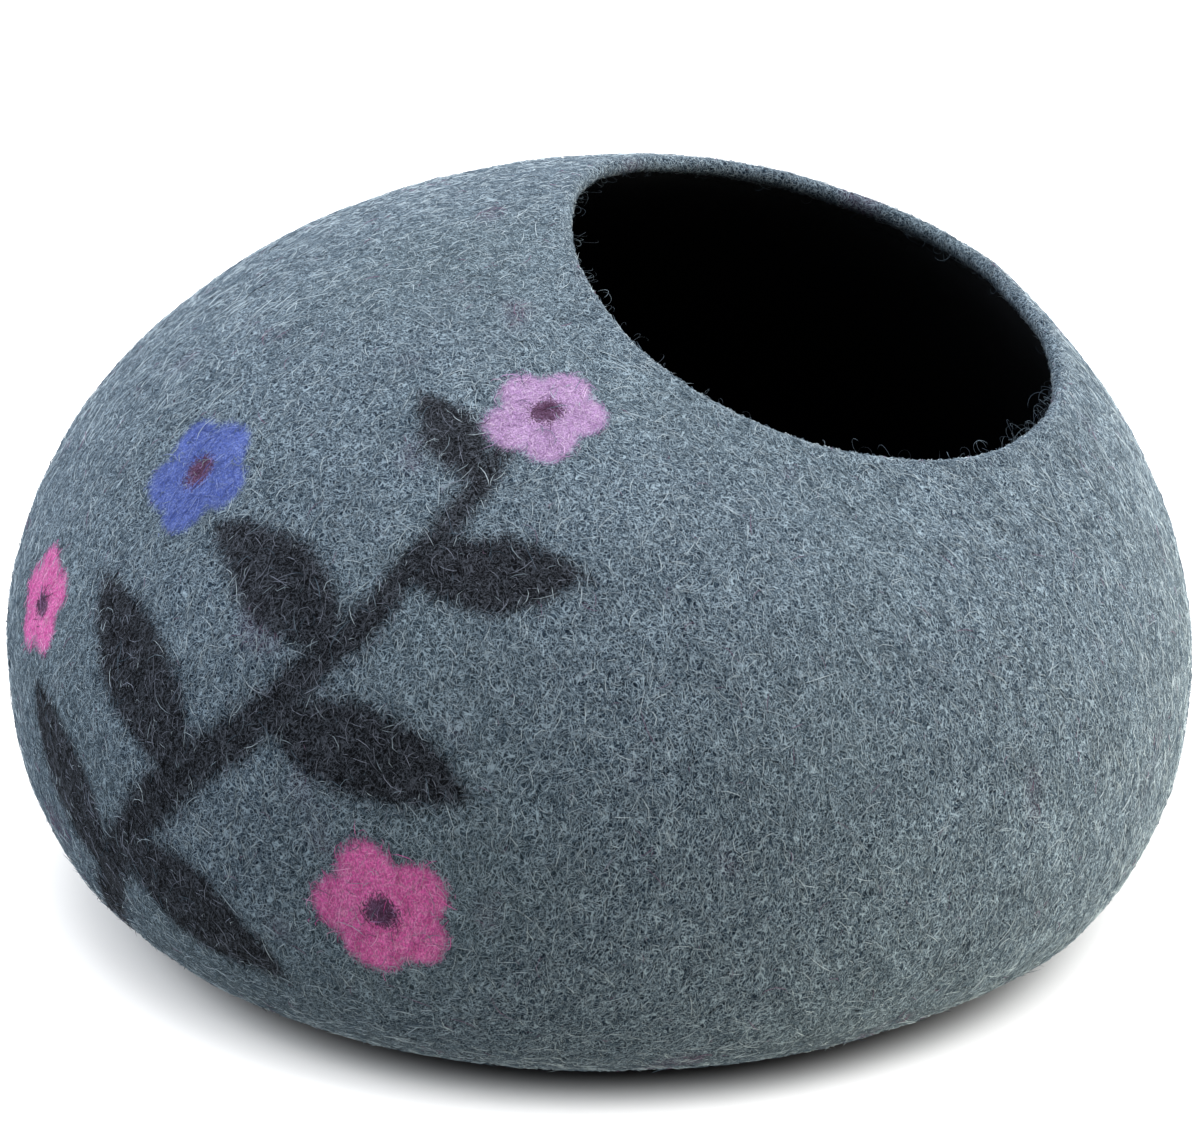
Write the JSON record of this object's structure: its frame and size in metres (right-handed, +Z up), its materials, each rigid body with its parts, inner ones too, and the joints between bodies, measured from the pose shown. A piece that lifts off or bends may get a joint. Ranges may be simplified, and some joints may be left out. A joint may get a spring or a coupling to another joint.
{
  "type": "felt cat cave",
  "caption": "Seamless wool felt cave for a cat: a hollow squashed pebble on a flat base, with a round mouth cut in its leaning shoulder.",
  "frame": {"origin": "middle of the cave's bounding box, on the surface it stands on", "axes": "+Z up, +X towards the side the mouth leans to, +Y away from the side with the felted-in sprig"},
  "size_m": [0.502, 0.5002, 0.303],
  "materials": {
    "felt": "matte wet-felted wool, slate blue flecked with paler fibres, with felted-in charcoal, pink, lilac and blue wool"
  },
  "bodies": {
    "root": {"felt_shell": "felt"}
  },
  "joints": []
}
